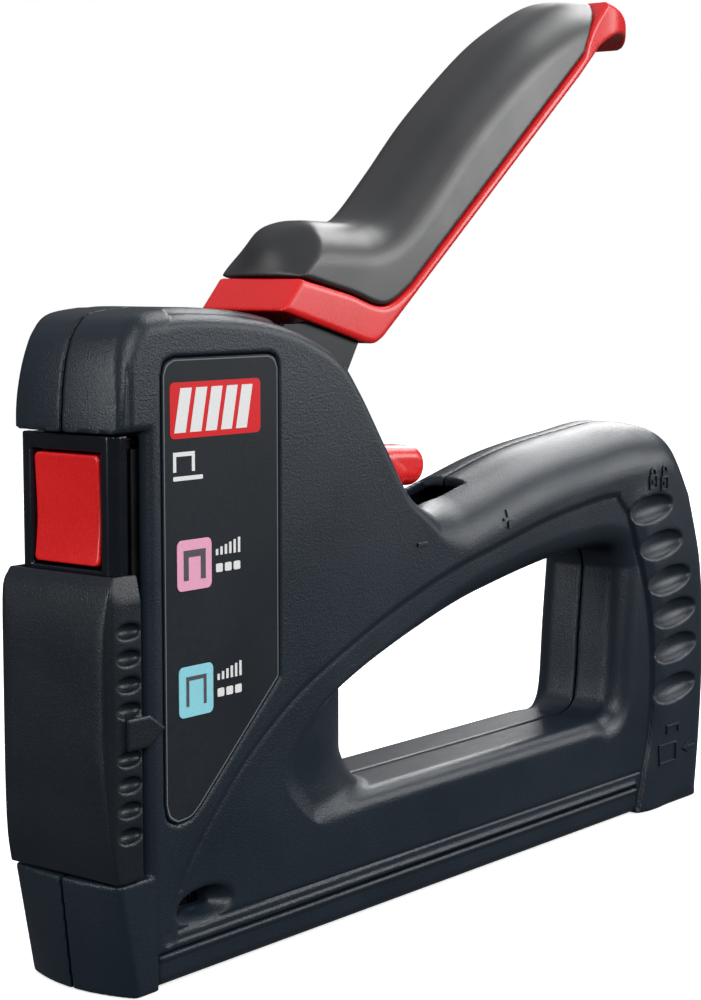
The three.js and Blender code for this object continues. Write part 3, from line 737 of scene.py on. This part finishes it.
def make_selector_cover():
    g = Grid((-102, -15, 20), (-87, 15, 74), 0.25 * COARSE)
    width = 13.5 - 0.22 * np.maximum(g.z - 68.6, 0)
    plan = outline(
        (-92.7, -1), ("line", (-92.7, 13.5), (-97.4, 13.5)),
        ("curve", (-99.6, 13.1), (-100.7, 12), (FRONT_X, 10.4)), ("line", (FRONT_X, -1)),
    )
    profile = outline(
        (-80, 20.9), ("line", (-98.7, 20.9)),
        ("curve", (-99.8, 27), (-100.5, 36), (FRONT_X, 44), (FRONT_X, 54), (-100.9, 62),
         (-100, 69.7), (-98.5, 73.1)), ("line", (-80, 73.1)),
    )
    block = both(both(flat(g.x, g.s, plan), flat(g.x, g.z, profile), 0.45), g.s - width, 0.3)
    cover = without(block, box(g, (-97.55, -80), 11.7, (0, 100)), 0.2)
    scoops = [ellipsoid((g.x + 95.7, g.z - z, g.s - 13.5), (2.9, 1.4, 1.5))
              for z in (63.9, 59.4, 54.9, 50.5, 42.3, 37.8, 33.5, 29.0)]
    cover = np.maximum(cover, -np.minimum.reduce(scoops))
    pointer = outline((-97, 43.7), ("line", (-91.4, 43.7), (-87.7, 46.4), (-91.4, 49.1), (-97, 49.1)))
    arrow = both(flat(g.x, g.z, pointer), slab(g.s, HALF_WIDTH + GAP, 14.2), 0.25)
    moulded("front_cover", g, np.minimum(cover, arrow), "selector_cover")


def make_slide_guide():
    g = Grid((-98.4, -12.4, 19.8), (-91.4, 12.4, 97.4), 0.3 * COARSE)
    plan = outline(
        (-92.4, -1), ("line", (-92.4, 10.4), (-94.6, 10.4), (-94.6, 11.3), (-95.4, 11.3)),
        ("curve", (-96.5, 10.9), (-97, 9.9)), ("line", (-97, -1)),
    )
    guide = both(flat(g.x, g.s, plan), slab(g.z, NOSE_Z + 0.4, BROW_Z - 0.4), 0.15)
    guide = without(guide, box(g, (-99, -90), 8.25, (73.8, 93.6)), 0.35)
    guide = without(guide, box(g, (-94.6, -90), 8.6, (24, 70)))
    moulded("guide_block", g, bored(guide, g, CATCH, 1.3, 9.6), "slide_guide")


def make_catch():
    g = Grid((-98.2, -8.8, 73.4), (-91.6, 8.8, 94.2), 0.22 * COARSE)
    profile = outline(
        (-96.9, 93.2), ("curve", (-96.6, 88), (-96.4, 82), (-96.7, 77.6), (-97.2, 74.2)),
        ("line", (-95.4, 74.2), (-94.6, 80), (-94.4, 89), (-92.8, 90.6), (-92.4, 92.6), (-92.8, 93.2)),
    )
    corners = both(slab(g.z, 74.2, 93.2), g.s - 7.9, 1.3)
    plate = both(flat(g.x, g.z, profile), corners, 0.5)
    moulded("red_catch", g, bored(plate, g, CATCH, 0.75), "front_catch")


# ---- the lever ----

LEVER_HALF_WIDTH = 10.3
FORK_S = (7.5, 8.6)  # inner and outer faces of the fork plates


def lever_base_outline():
    """The red moulding from the block in the head, along the underside, to the hooked tip."""
    return outline(
        (-52.2, 116.5), ("line", (-46.8, 122.3), (-44.7, 121.8)),
        ("curve", (-33, 119.4), (-22.1, 116.9), (-13.9, 120.4)), ("line", (47.4, 169.4)),
        ("curve", (50.6, 175), (57.6, 181.8)), ("curve", (63.4, 180.4), (69.4, 177.6), (73.0, 174)),
        ("line", (71.6, 172.6)), ("curve", (66.5, 175.2), (61, 174.8), (54.5, 171.9)),
        ("line", (-22.4, 111.0)), ("curve", (-25, 109.9), (-28.4, 110.2)),
    )


def make_lever_base():
    g = Grid((-53.2, -11.2, 108.8), (74.4, 11.2, 184.4), 0.4 * COARSE)
    rib = outline(
        (-40, 119), ("curve", (-34, 126), (-22, 125.6), (-6, 138), (14, 155.4), (34, 168.6), (49, 174)),
        ("line", (47, 166), (-14, 117.6)),
    )
    band = flat(g.x, g.z, lever_base_outline())
    end = np.hypot(0.72 * np.maximum(g.x - 60, 0), g.s) - LEVER_HALF_WIDTH + 0.9 * ramp(g.x, 44, 60)
    base = both(band, end, 0.8)
    base = np.minimum(base, np.maximum(flat(g.x, g.z, rib), g.s - 5.7))
    slots = np.maximum(box(g, (-58, -26.6), FORK_S[1] + GAP, (90, 114.4)), FORK_S[0] - GAP - g.s)
    moulded("lever_moulding", g, without(base, slots), "lever_base")


def make_lever_grip():
    """The black grip: a rounded crown over the red moulding, cut off by its arched front face."""
    g = Grid((-47.8, -11.2, 116), (59, 11.2, 184.6), 0.4 * COARSE)
    crown = outline(
        (-60, 60), ("line", (-60, 133), (-38, 133.2)),
        ("curve", (-31.6, 133.0), (-24.6, 133.1), (-18.2, 135.6), (-8, 144.4), (4.3, 155.8),
         (22.1, 169.2), (34.5, 176.2), (46, 180.9), (57.8, 182.4)),
        ("line", (80, 183), (80, 60)),
    )
    above_base = outline(
        (-60, 200), ("line", (-60, 122.9), (-46.6, 122.7)),
        ("curve", (-33, 119.8), (-22.2, 117.3), (-14.1, 120.8)),
        ("line", (47, 169.8)), ("curve", (50.1, 175.4), (57.8, 182.6)), ("line", (62, 200)),
    )
    behind_front = outline(
        (-47.4, 118), ("line", (-46.9, 122.6)), ("curve", (-45.4, 128), (-42, 131.6), (-37, 133.4)),
        ("line", (-28, 138), (60, 220), (80, 60)),
    )
    bulged = g.x - 0.06 * g.s ** 2 * ramp(g.z, 121, 130)
    grip = both(flat(g.x, g.z, crown), g.s - LEVER_HALF_WIDTH, 8.8)
    grip = both(grip, flat(g.x, g.z, above_base), 0.35)
    grip = both(grip, flat(bulged, g.z, behind_front), 0.5)
    slot = outline(
        (-40.4, 118), ("line", (-40.4, 119.4)),
        ("curve", (-34.2, 126.6), (-22, 126.2), (-6.2, 138.6), (13.8, 156), (33.8, 169.2),
         (49.6, 175.4)),
        ("line", (47.6, 165), (-13, 116)),
    )
    grip = without(grip, np.maximum(flat(g.x, g.z, slot), g.s - 6))
    moulded("lever_soft_grip", g, grip, "lever_grip")


# ---- labels ----

FILM = 0.5
LABEL_FACE = HALF_WIDTH - LABEL_DEPTH + GAP + FILM


def staple_sign(x, z, crown, leg, wire):
    """A staple standing on its legs, drawn as one outline."""
    return [(x, z), (x, z + leg), (x + crown, z + leg), (x + crown, z), (x + crown - wire, z),
            (x + crown - wire, z + leg - wire), (x + wire, z + leg - wire), (x + wire, z)]


def slanted_bars(x, z, width, height, count, lean):
    """White bars side by side that fill a field, each leaning forward."""
    pitch = (width - lean) / count
    bars = []
    for i in range(count):
        left = x + i * pitch
        bars.append([(left, z), (left + 0.72 * pitch, z), (left + 0.72 * pitch + lean, z + height),
                     (left + lean, z + height)])
    return bars


def gauge(x, z):
    """Rising ticks over a row of dashes: the range of staple lengths."""
    ticks = []
    for i in range(6):
        left, low, high = x + i * 1.15, z + 3.0, z + 4.1 + 0.32 * i
        ticks.append([(left, low), (left + 0.6, low), (left + 0.6, high), (left, high)])
    dashes = [rounded_box(x + i * 2.3, z, 1.75, 1.5, 0.3) for i in range(3)]
    return ticks + dashes


def label_edge_highlight():
    """A hairline of painted highlight round the film, where its cut edge would catch light, as one
    outline that goes round and comes back inside itself.
    """
    outer, inner = label_outline(GAP + 0.25), label_outline(GAP + 0.45)
    return [*outer, outer[0], inner[0], *inner[::-1]]


def make_labels():
    # Each print layer is a name, an ink, its shapes, and how far it starts and ends above the film.
    print_layers = (
        # The first layer is a painted highlight: a pale hairline round the film's cut edge.
        ("edge_highlight", "pale", [label_edge_highlight()], 0.0, 0.05),
        ("red_plate", "red", [rounded_box(-84.9, 95.3, 23.2, 9.6, 1.0)], 0.0, 0.06),
        ("plate_bars", "white", slanted_bars(-83.9, 96.3, 21.2, 7.6, 5, 1.6), 0.06, 0.10),
        ("plate_sign", "white", [staple_sign(-84.2, 89.6, 5.4, 3.4, 0.75),
                                 rounded_box(-84.2, 88.1, 7.4, 0.75, 0.2)], 0.0, 0.06),
        ("flat_wire_tile", "pink", [rounded_box(-83.5, 69.0, 8.7, 8.8, 1.1)], 0.0, 0.16),
        ("flat_wire_sign", "grey", [staple_sign(-81.9, 70.8, 5.5, 5.2, 1.2)], 0.16, 0.22),
        ("flat_wire_gauge", "white", gauge(-73.6, 71.4), 0.0, 0.06),
        ("fine_wire_tile", "blue", [rounded_box(-83.3, 46.9, 8.7, 8.9, 1.1)], 0.0, 0.16),
        ("fine_wire_sign", "grey", [staple_sign(-81.5, 48.8, 5.1, 5.2, 0.7)], 0.16, 0.22),
        ("fine_wire_gauge", "white", gauge(-73.4, 49.3), 0.0, 0.06),
    )
    for side, hand in ((-1, "left"), (1, "right")):
        face = side * LABEL_FACE
        film = extruded(f"{hand}_label_film", [label_outline(GAP)],
                        (side * (LABEL_FACE - FILM), face), FINISHES["label_film"], 0.18)
        stand_in(film, f"{hand}_label")
        for name, ink, shapes, low, high in print_layers:
            thick = low == 0 and high > 0.15
            layer = extruded(f"{hand}_{name}", shapes, (face + side * low, face + side * high),
                             INKS[ink], 0.05 if thick else 0)
            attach(layer, "housing")


RELIEF = 0.4  # how far the moulded signs stand out


def left_skin_finder():
    """Makes a function that gives the Y of the left half shell's skin at a point of its side."""
    shell = bpy.data.objects["left_half_shell"].data
    tree = BVHTree.FromPolygons([v.co for v in shell.vertices], [p.vertices for p in shell.polygons])

    def skin_y(x, z):
        start = Vector((x, -2 * REAR_GRIP_HALF_WIDTH, z)) * MM
        hit = tree.ray_cast(start, Vector((0, 1, 0)))
        return hit[0].y / MM
    return skin_y


def bar(x, z, w, h):
    """A plain rectangle about its centre."""
    return [(x + i * w / 2, z + j * h / 2) for i, j in ((-1, -1), (1, -1), (1, 1), (-1, 1))]


def bow(x, z, radius, stroke, start=0, end=180, steps=10):
    """An arc with a stroke, as a closed outline; angles in degrees."""
    angles = [math.radians(start + (end - start) * i / steps) for i in range(steps + 1)]
    outer, inner = radius + stroke / 2, radius - stroke / 2
    there = [(x + outer * math.cos(a), z + outer * math.sin(a)) for a in angles]
    return there + [(x + inner * math.cos(a), z + inner * math.sin(a)) for a in reversed(angles)]


def padlock(x, z, lift):
    """A small padlock. Lift raises its bow, as if it stood open."""
    keyhole = bow(x, z, 0.35, 0.4, 0, 359)
    frame_bars = [bar(x, z + i * 1.4, 3.0, 0.4) for i in (-1, 1)]
    frame_bars += [bar(x + i * 1.3, z, 0.4, 2.4) for i in (-1, 1)]
    legs = [bar(x - 0.85, z + 1.9 + lift / 2, 0.4, 0.7 + lift), bar(x + 0.85, z + 2.0 + lift, 0.4, 0.5)]
    return [keyhole, *frame_bars, *legs, bow(x, z + 2.2 + lift, 0.85, 0.4)]


def raised_signs():
    """Minus, plus, a closed and an open padlock, and a staple going into the magazine."""
    signs = [bar(-13.9, 70.4, 3.2, 0.8), bar(15.9, 72.7, 3.2, 0.6), bar(15.9, 73.9, 0.6, 1.5),
             bar(15.9, 71.5, 0.6, 1.5)]
    signs += padlock(71.4, 76.2, 0) + padlock(76.2, 75.6, 0.9)
    signs += [bar(79.6, 10.4, 7.6, 0.5), bar(79.6, 14.6, 7.6, 0.5), bar(76.0, 12.5, 0.5, 3.7),
              bar(83.2, 12.5, 0.5, 3.7), bar(81.6, 18.8, 5.6, 0.55), bar(79.1, 17.8, 0.5, 1.6),
              bar(84.1, 17.8, 0.5, 1.6), [(88.4, 13.7), (88.4, 11.3), (86.2, 12.5)],
              bar(90.0, 12.5, 3.0, 0.6)]
    return signs


def make_raised_signs():
    """The signs stand proud of the left side; the right side carries the screws instead."""
    skin_y = left_skin_finder()
    points, faces = [], []
    for sign in raised_signs():
        faces += prism_faces(len(points), len(sign))
        for offset in (RELIEF, -RELIEF):
            points += [(x, skin_y(x, z) + offset, z) for x, z in sign]
    signs = new_object("raised_signs", points, faces, FINISHES["shell_plastic"], smooth=False)
    soften(outward(signs), 0.08, 1)
    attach(signs, "housing")


# ---- power adjuster, bottom and back ----

def make_adjuster():
    g = Grid((-21.2, -5.2, 54.6), (0.6, 5.2, 91), 0.25 * COARSE)
    hub = both(circle(g.x, g.z, ADJUSTER, 4), g.s - 4.4, 0.4)
    arm = outline((-18.6, 69), ("line", (-17.4, 83), (-13, 87), (-8, 84), (-12.2, 67.6)))
    blade = both(flat(g.x, g.z, arm), g.s - 3.6, 0.8)
    along = np.clip((g.x + 13) / 8.5, 0, 1)
    knob = circle(g.x - 8.5 * along, g.z + 0.5 * along, (-13, 85.2), 4.05)
    knob = both(knob, g.s - 4.5, 2.6)
    down = np.clip((ADJUSTER[1] - g.z) / 8, 0, 1)
    crank = circle(g.x + 1.6 * down, g.z + 8 * down, ADJUSTER, 1.7)
    crank = both(crank, g.s - 1.8, 0.3)
    lever = np.minimum(either(either(hub, blade, 1.2), knob, 1.5), crank)
    moulded("red_adjuster", g, bored(lever, g, ADJUSTER, 2.3), "adjuster_lever")


def make_bottom_strip():
    g = Grid((STRIP_FRONT_X - 0.8, -13.4, 0), (REAR_GRIP_X + 0.4, 13.4, 7), 0.4 * COARSE)
    section = np.array([(-1, 0.6), (11.8, 0.6), (12.6, 1.8), (12.6, 4.9), (13, 5.3), (13, 5.8),
                        (12.6, STRIP_TOP_Z), (-1, STRIP_TOP_Z)])
    strip = both(flat(g.s, g.z, section), slab(g.x, STRIP_FRONT_X, REAR_GRIP_X - GAP), 0.35)
    moulded("bottom_closing_strip", g, strip, "bottom_strip")


def make_drawer_end():
    g = Grid((90.8, -10.8, 2), (100, 10.8, 20.4), 0.25 * COARSE)
    block = both(both(slab(g.x, 91.4, 99.4), slab(g.z, 2.6, 19.8), 0.9), g.s - 10, 0.9)
    block = without(block, box(g, (93.4, 101), 6.3, (7, 17.6)), 0.25)
    block = np.maximum(block, -box(g, (90, 94), 1.2, (11, 13.4)))
    moulded("magazine_end_block", g, block, "drawer_end")


def make_latch():
    g = Grid((95, -6.6, 7.6), (100.8, 6.6, 18), 0.2 * COARSE)
    up = np.clip((g.z - 10.6) / 4.4, 0, 1)
    cap = both(circle(g.x, g.z - 4.4 * up, (98.6, 10.6), 1.6), g.s - 6, 0.8)
    base = both(both(slab(g.x, 95.6, 99.4), slab(g.z, 8.3, 17.3), 0.5), g.s - 6, 0.5)
    ribs = np.minimum.reduce([circle(g.x, g.z, (100.3, z), 0.35) for z in (11, 12.8, 14.6)])
    moulded("latch_key", g, without(either(base, cap, 0.6), ribs, 0.1), "latch_button")


def make_lever_lock():
    g = Grid((91, -5.6, 67), (98.2, 5.6, 79.6), 0.2 * COARSE)
    shape = outline((92.2, 67.6), ("line", (92.2, 76.4), (91.6, 79), (94, 78.6)),
                    ("curve", (96.6, 72), (97.6, 67.6)))
    slider = both(flat(g.x, g.z, shape), g.s - 5, 0.5)
    rib_centres = [(96.9 - 0.55 * (z - 70), z) for z in (70, 71.6, 73.2, 74.8)]
    ribs = np.minimum.reduce([circle(g.x, g.z, centre, 0.45) for centre in rib_centres])
    moulded("lock_slider", g, without(slider, ribs, 0.15), "lever_lock")


# ---- steel ----

def across(centre):
    """Places a turned piece with its axis along Y."""
    return lambda a, b, h: (centre[0] + a, h, centre[1] + b)


def pin(name, node, centre, radius, half_length):
    """A plain axle with chamfered ends."""
    profile = [(radius - 0.3, -half_length), (radius, -half_length + 0.3), (radius, half_length - 0.3),
               (radius - 0.3, half_length)]
    turned(name, node, profile, across(centre))


def make_turned_parts():
    pin("lever_pivot_pin", "lever_axle", PIVOT, 2.5, 11.9)
    pin("adjuster_pin", "adjuster_axle", ADJUSTER, 2, 11.2)
    pin("catch_pin", "catch_axle", CATCH, 0.5, 9.2)
    rod = [(0.5, -66), (0.8, -65.6), (0.8, 90.2), (0.5, 90.6)]
    turned("spring_rod", "pusher_rod", rod, lambda a, b, h: (h, a, ROD_Z + b), 24)
    cap = [(3.4, 108.4), (3.9, 108.8), (3.9, 111.9), (6.2, 112), (6.6, 112.3), (6.6, 113.1),
           (6.3, 113.4)]
    turned("spring_top_cap", "spring_cap", cap, lambda a, b, h: (DRIVER_X + a, b, h))


def coil(name, radius, wire, length, turns, to_world, steps=28, sides=10):
    """A compression spring whose end turns lie closed, as a swept wire."""
    count = int(turns * steps)
    closed = 1.2 / turns  # share of the wire in each closed end
    end_height = 1.2 * wire
    points = []
    for i in range(count + 1):
        t = i / count
        angle = 2 * math.pi * turns * t
        height = end_height * (min(t, closed) + max(t - 1 + closed, 0)) / closed
        height += (length - 2 * end_height) * min(max((t - closed) / (1 - 2 * closed), 0), 1)
        for k in range(sides):
            turn = 2 * math.pi * k / sides
            r = radius + wire / 2 * math.cos(turn)
            h = height + wire / 2 * math.sin(turn)
            points.append(to_world(r * math.cos(angle), r * math.sin(angle), h))
    faces = ring_faces(count + 1, sides)
    return outward(new_object(name, points, faces, FINISHES["spring_steel"]))


def make_springs():
    low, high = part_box("power_spring")
    low_z, high_z = low.z / MM + 0.85, high.z / MM - 0.85
    main = coil("main_spring", 5.4, 1.7, high_z - low_z, 10,
                lambda a, b, h: (DRIVER_X + a, b, low_z + h))
    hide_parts("power_spring")
    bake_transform(main)
    low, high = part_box("pusher_spring")
    low_x, high_x = low.x / MM + 0.35, high.x / MM - 0.35
    feed = coil("feed_spring", 2.3, 0.7, high_x - low_x, 24,
                lambda a, b, h: (low_x + h, a, ROD_Z + b), 16, 6)
    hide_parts("pusher_spring")
    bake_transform(feed)


def make_screws():
    """Pan-head screws with a cross recess and a thread, lying along Y."""
    tip_y, top_y = -9.6, 12.0
    pitch, thread_depth = 1.0, 0.11
    arm_length, arm_width = 1.6, 0.38  # half sizes of the cross
    g = Grid((-3.2, -9.8, -3.2), (3.2, 12.4, 3.2), 0.2 * COARSE)
    r = np.hypot(g.x, g.z)
    dome = np.hypot(r, g.y - 7.6) - 4.4
    head = both(both(r - 2.8, slab(g.y, SCREW_HEAD_Y, top_y), 0.2), dome, 0.1)
    turn = np.arctan2(g.z, g.x) / (2 * math.pi)
    thread = 2 * thread_depth * np.abs((g.y / pitch + turn) % 1 - 0.5)
    shank = both(r - 1.3 + thread, slab(g.y, tip_y, SCREW_HEAD_Y + 0.2), 0.2)
    cross = np.minimum(np.maximum(np.abs(g.x) - arm_length, np.abs(g.z) - arm_width),
                       np.maximum(np.abs(g.z) - arm_length, np.abs(g.x) - arm_width))
    recess = np.maximum(cross + 0.5 * (top_y - g.y), 10.7 - g.y)
    points, faces = surface(g, without(np.minimum(head, shank), recess, 0.05))
    faces = facing_out(points, faces)
    for i, (x, z) in enumerate(SCREWS):
        node = f"shell_screw_{i + 1}"
        screw = new_object(f"cross_screw_{i + 1}", points + (x, 0, z), faces, FINISHES[SLOTS[node]])
        stand_in(screw, node)


def make_staples():
    """A stick of separate wire staples, standing on their legs one behind the other."""
    low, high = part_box("staple_strip")
    half, top, bottom = high.y / MM, high.z / MM, low.z / MM
    wire, pitch, corner = 0.7, 0.95, 0.35
    section = [(-half, bottom), (-half, top - corner), (-half + corner, top), (half - corner, top),
               (half, top - corner), (half, bottom), (half - wire, bottom), (half - wire, top - wire),
               (wire - half, top - wire), (wire - half, bottom)]
    points, faces = [], []
    for i in range(int((high.x - low.x) / MM / pitch)):
        x0 = low.x / MM + i * pitch
        faces += prism_faces(len(points), len(section))
        points += [(x, y, z) for x in (x0, x0 + 0.9 * pitch) for y, z in section]
    stick = new_object("staple_stick", points, faces, FINISHES["staple_wire"], smooth=False)
    soften(outward(stick), 0.08, 1)
    stand_in(stick, "staple_strip")


def finish_steel_nodes():
    """The sheet-metal nodes keep their CAD shape and get their finish and small rounded edges."""
    for name, node in frame["nodes"].items():
        node.data.materials.clear()
        node.data.materials.append(FINISHES[SLOTS[name]])
        if not node.hide_render:
            soften(node, 0.12)


# ---- camera, light and floor ----

def make_camera():
    camera = bpy.data.cameras.new("camera")
    camera.sensor_fit = "VERTICAL"
    camera.sensor_height = 36
    camera.lens = 77.98
    seen = placed("camera", camera)
    seen.location = Vector((-350.6, -265.7, 124.0)) * MM
    forward = Vector((0.775, 0.623, -0.106))
    seen.rotation_euler = forward.to_track_quat("-Z", "Y").to_euler()
    bpy.context.scene.camera = seen


def area_light(name, place, target, size, power):
    light = bpy.data.lights.new(name, "AREA")
    light.shape = "RECTANGLE"
    light.size, light.size_y = size
    light.energy = power
    made = placed(name, light)
    made.location = place
    made.rotation_euler = (Vector(target) - Vector(place)).to_track_quat("-Z", "Y").to_euler()


def make_world():
    """White where the camera sees it, and a softer grey, lighter overhead, where it lights the tool."""
    world = bpy.data.worlds.new("studio")
    world.use_nodes = True
    tree = world.node_tree
    new = tree.nodes.new
    join = tree.links.new
    lit = tree.nodes["Background"]
    coordinates = new("ShaderNodeTexCoord")
    split = new("ShaderNodeSeparateXYZ")
    join(coordinates.outputs["Generated"], split.inputs[0])
    ladder = new("ShaderNodeValToRGB")
    for stop, position, grey in zip(ladder.color_ramp.elements, (0.3, 0.8), (0.10, 0.55)):
        stop.position = position
        stop.color = (grey, grey, grey * 1.04, 1)
    join(split.outputs["Z"], ladder.inputs["Fac"])
    join(ladder.outputs["Color"], lit.inputs["Color"])
    seen = new("ShaderNodeBackground")
    seen.inputs["Color"].default_value = (1, 1, 1, 1)
    path = new("ShaderNodeLightPath")
    choice = new("ShaderNodeMixShader")
    join(path.outputs["Is Camera Ray"], choice.inputs["Fac"])
    join(lit.outputs[0], choice.inputs[1])
    join(seen.outputs[0], choice.inputs[2])
    join(choice.outputs[0], tree.nodes["World Output"].inputs["Surface"])
    bpy.context.scene.world = world


def make_floor():
    """A pale floor that takes the tool's shadow without lighting the tool from below."""
    n = Nodes("floor")
    specks = n.noise(n.place(), 40)
    n.paint(n.blend(specks, (0.86, 0.86, 0.86), (0.90, 0.90, 0.90)), n.spread(specks, 0.75, 0.85))
    size, level = 4000, -0.2
    corners = [(-size, -size, level), (size, -size, level), (size, size, level), (-size, size, level)]
    n.shader.inputs["Emission Color"].default_value = (1, 1, 1, 1)
    n.shader.inputs["Emission Strength"].default_value = 0.68
    floor = new_object("floor", corners, [(0, 1, 2, 3)], n.material, smooth=False)
    floor.visible_diffuse = False
    floor.visible_glossy = False


def make_lights():
    target = (0, 0, 0.08)
    area_light("top", (0.72, -0.10, 0.78), target, (0.50, 0.40), 5.5)
    area_light("key", (-0.45, -0.90, 0.60), target, (0.40, 0.40), 6.5)
    area_light("side", (0.50, -1.00, 0.42), target, (0.55, 0.50), 1.8)
    area_light("sheen", (0.55, -0.46, 0.25), target, (0.26, 0.26), 1.7)
    area_light("front_left", (-0.90, 0.30, 0.30), target, (0.20, 0.50), 3.6)
    area_light("back", (0.80, 0.36, 0.52), target, (0.30, 0.35), 3.0)


bpy.context.scene.view_settings.view_transform = "Standard"
make_camera()
make_world()
make_floor()
make_lights()
make_shells()
make_selector_cover()
make_slide_guide()
make_catch()
make_lever_base()
make_lever_grip()
make_labels()
make_raised_signs()
make_adjuster()
make_bottom_strip()
make_drawer_end()
make_latch()
make_lever_lock()
make_turned_parts()
make_springs()
make_screws()
make_staples()
finish_steel_nodes()
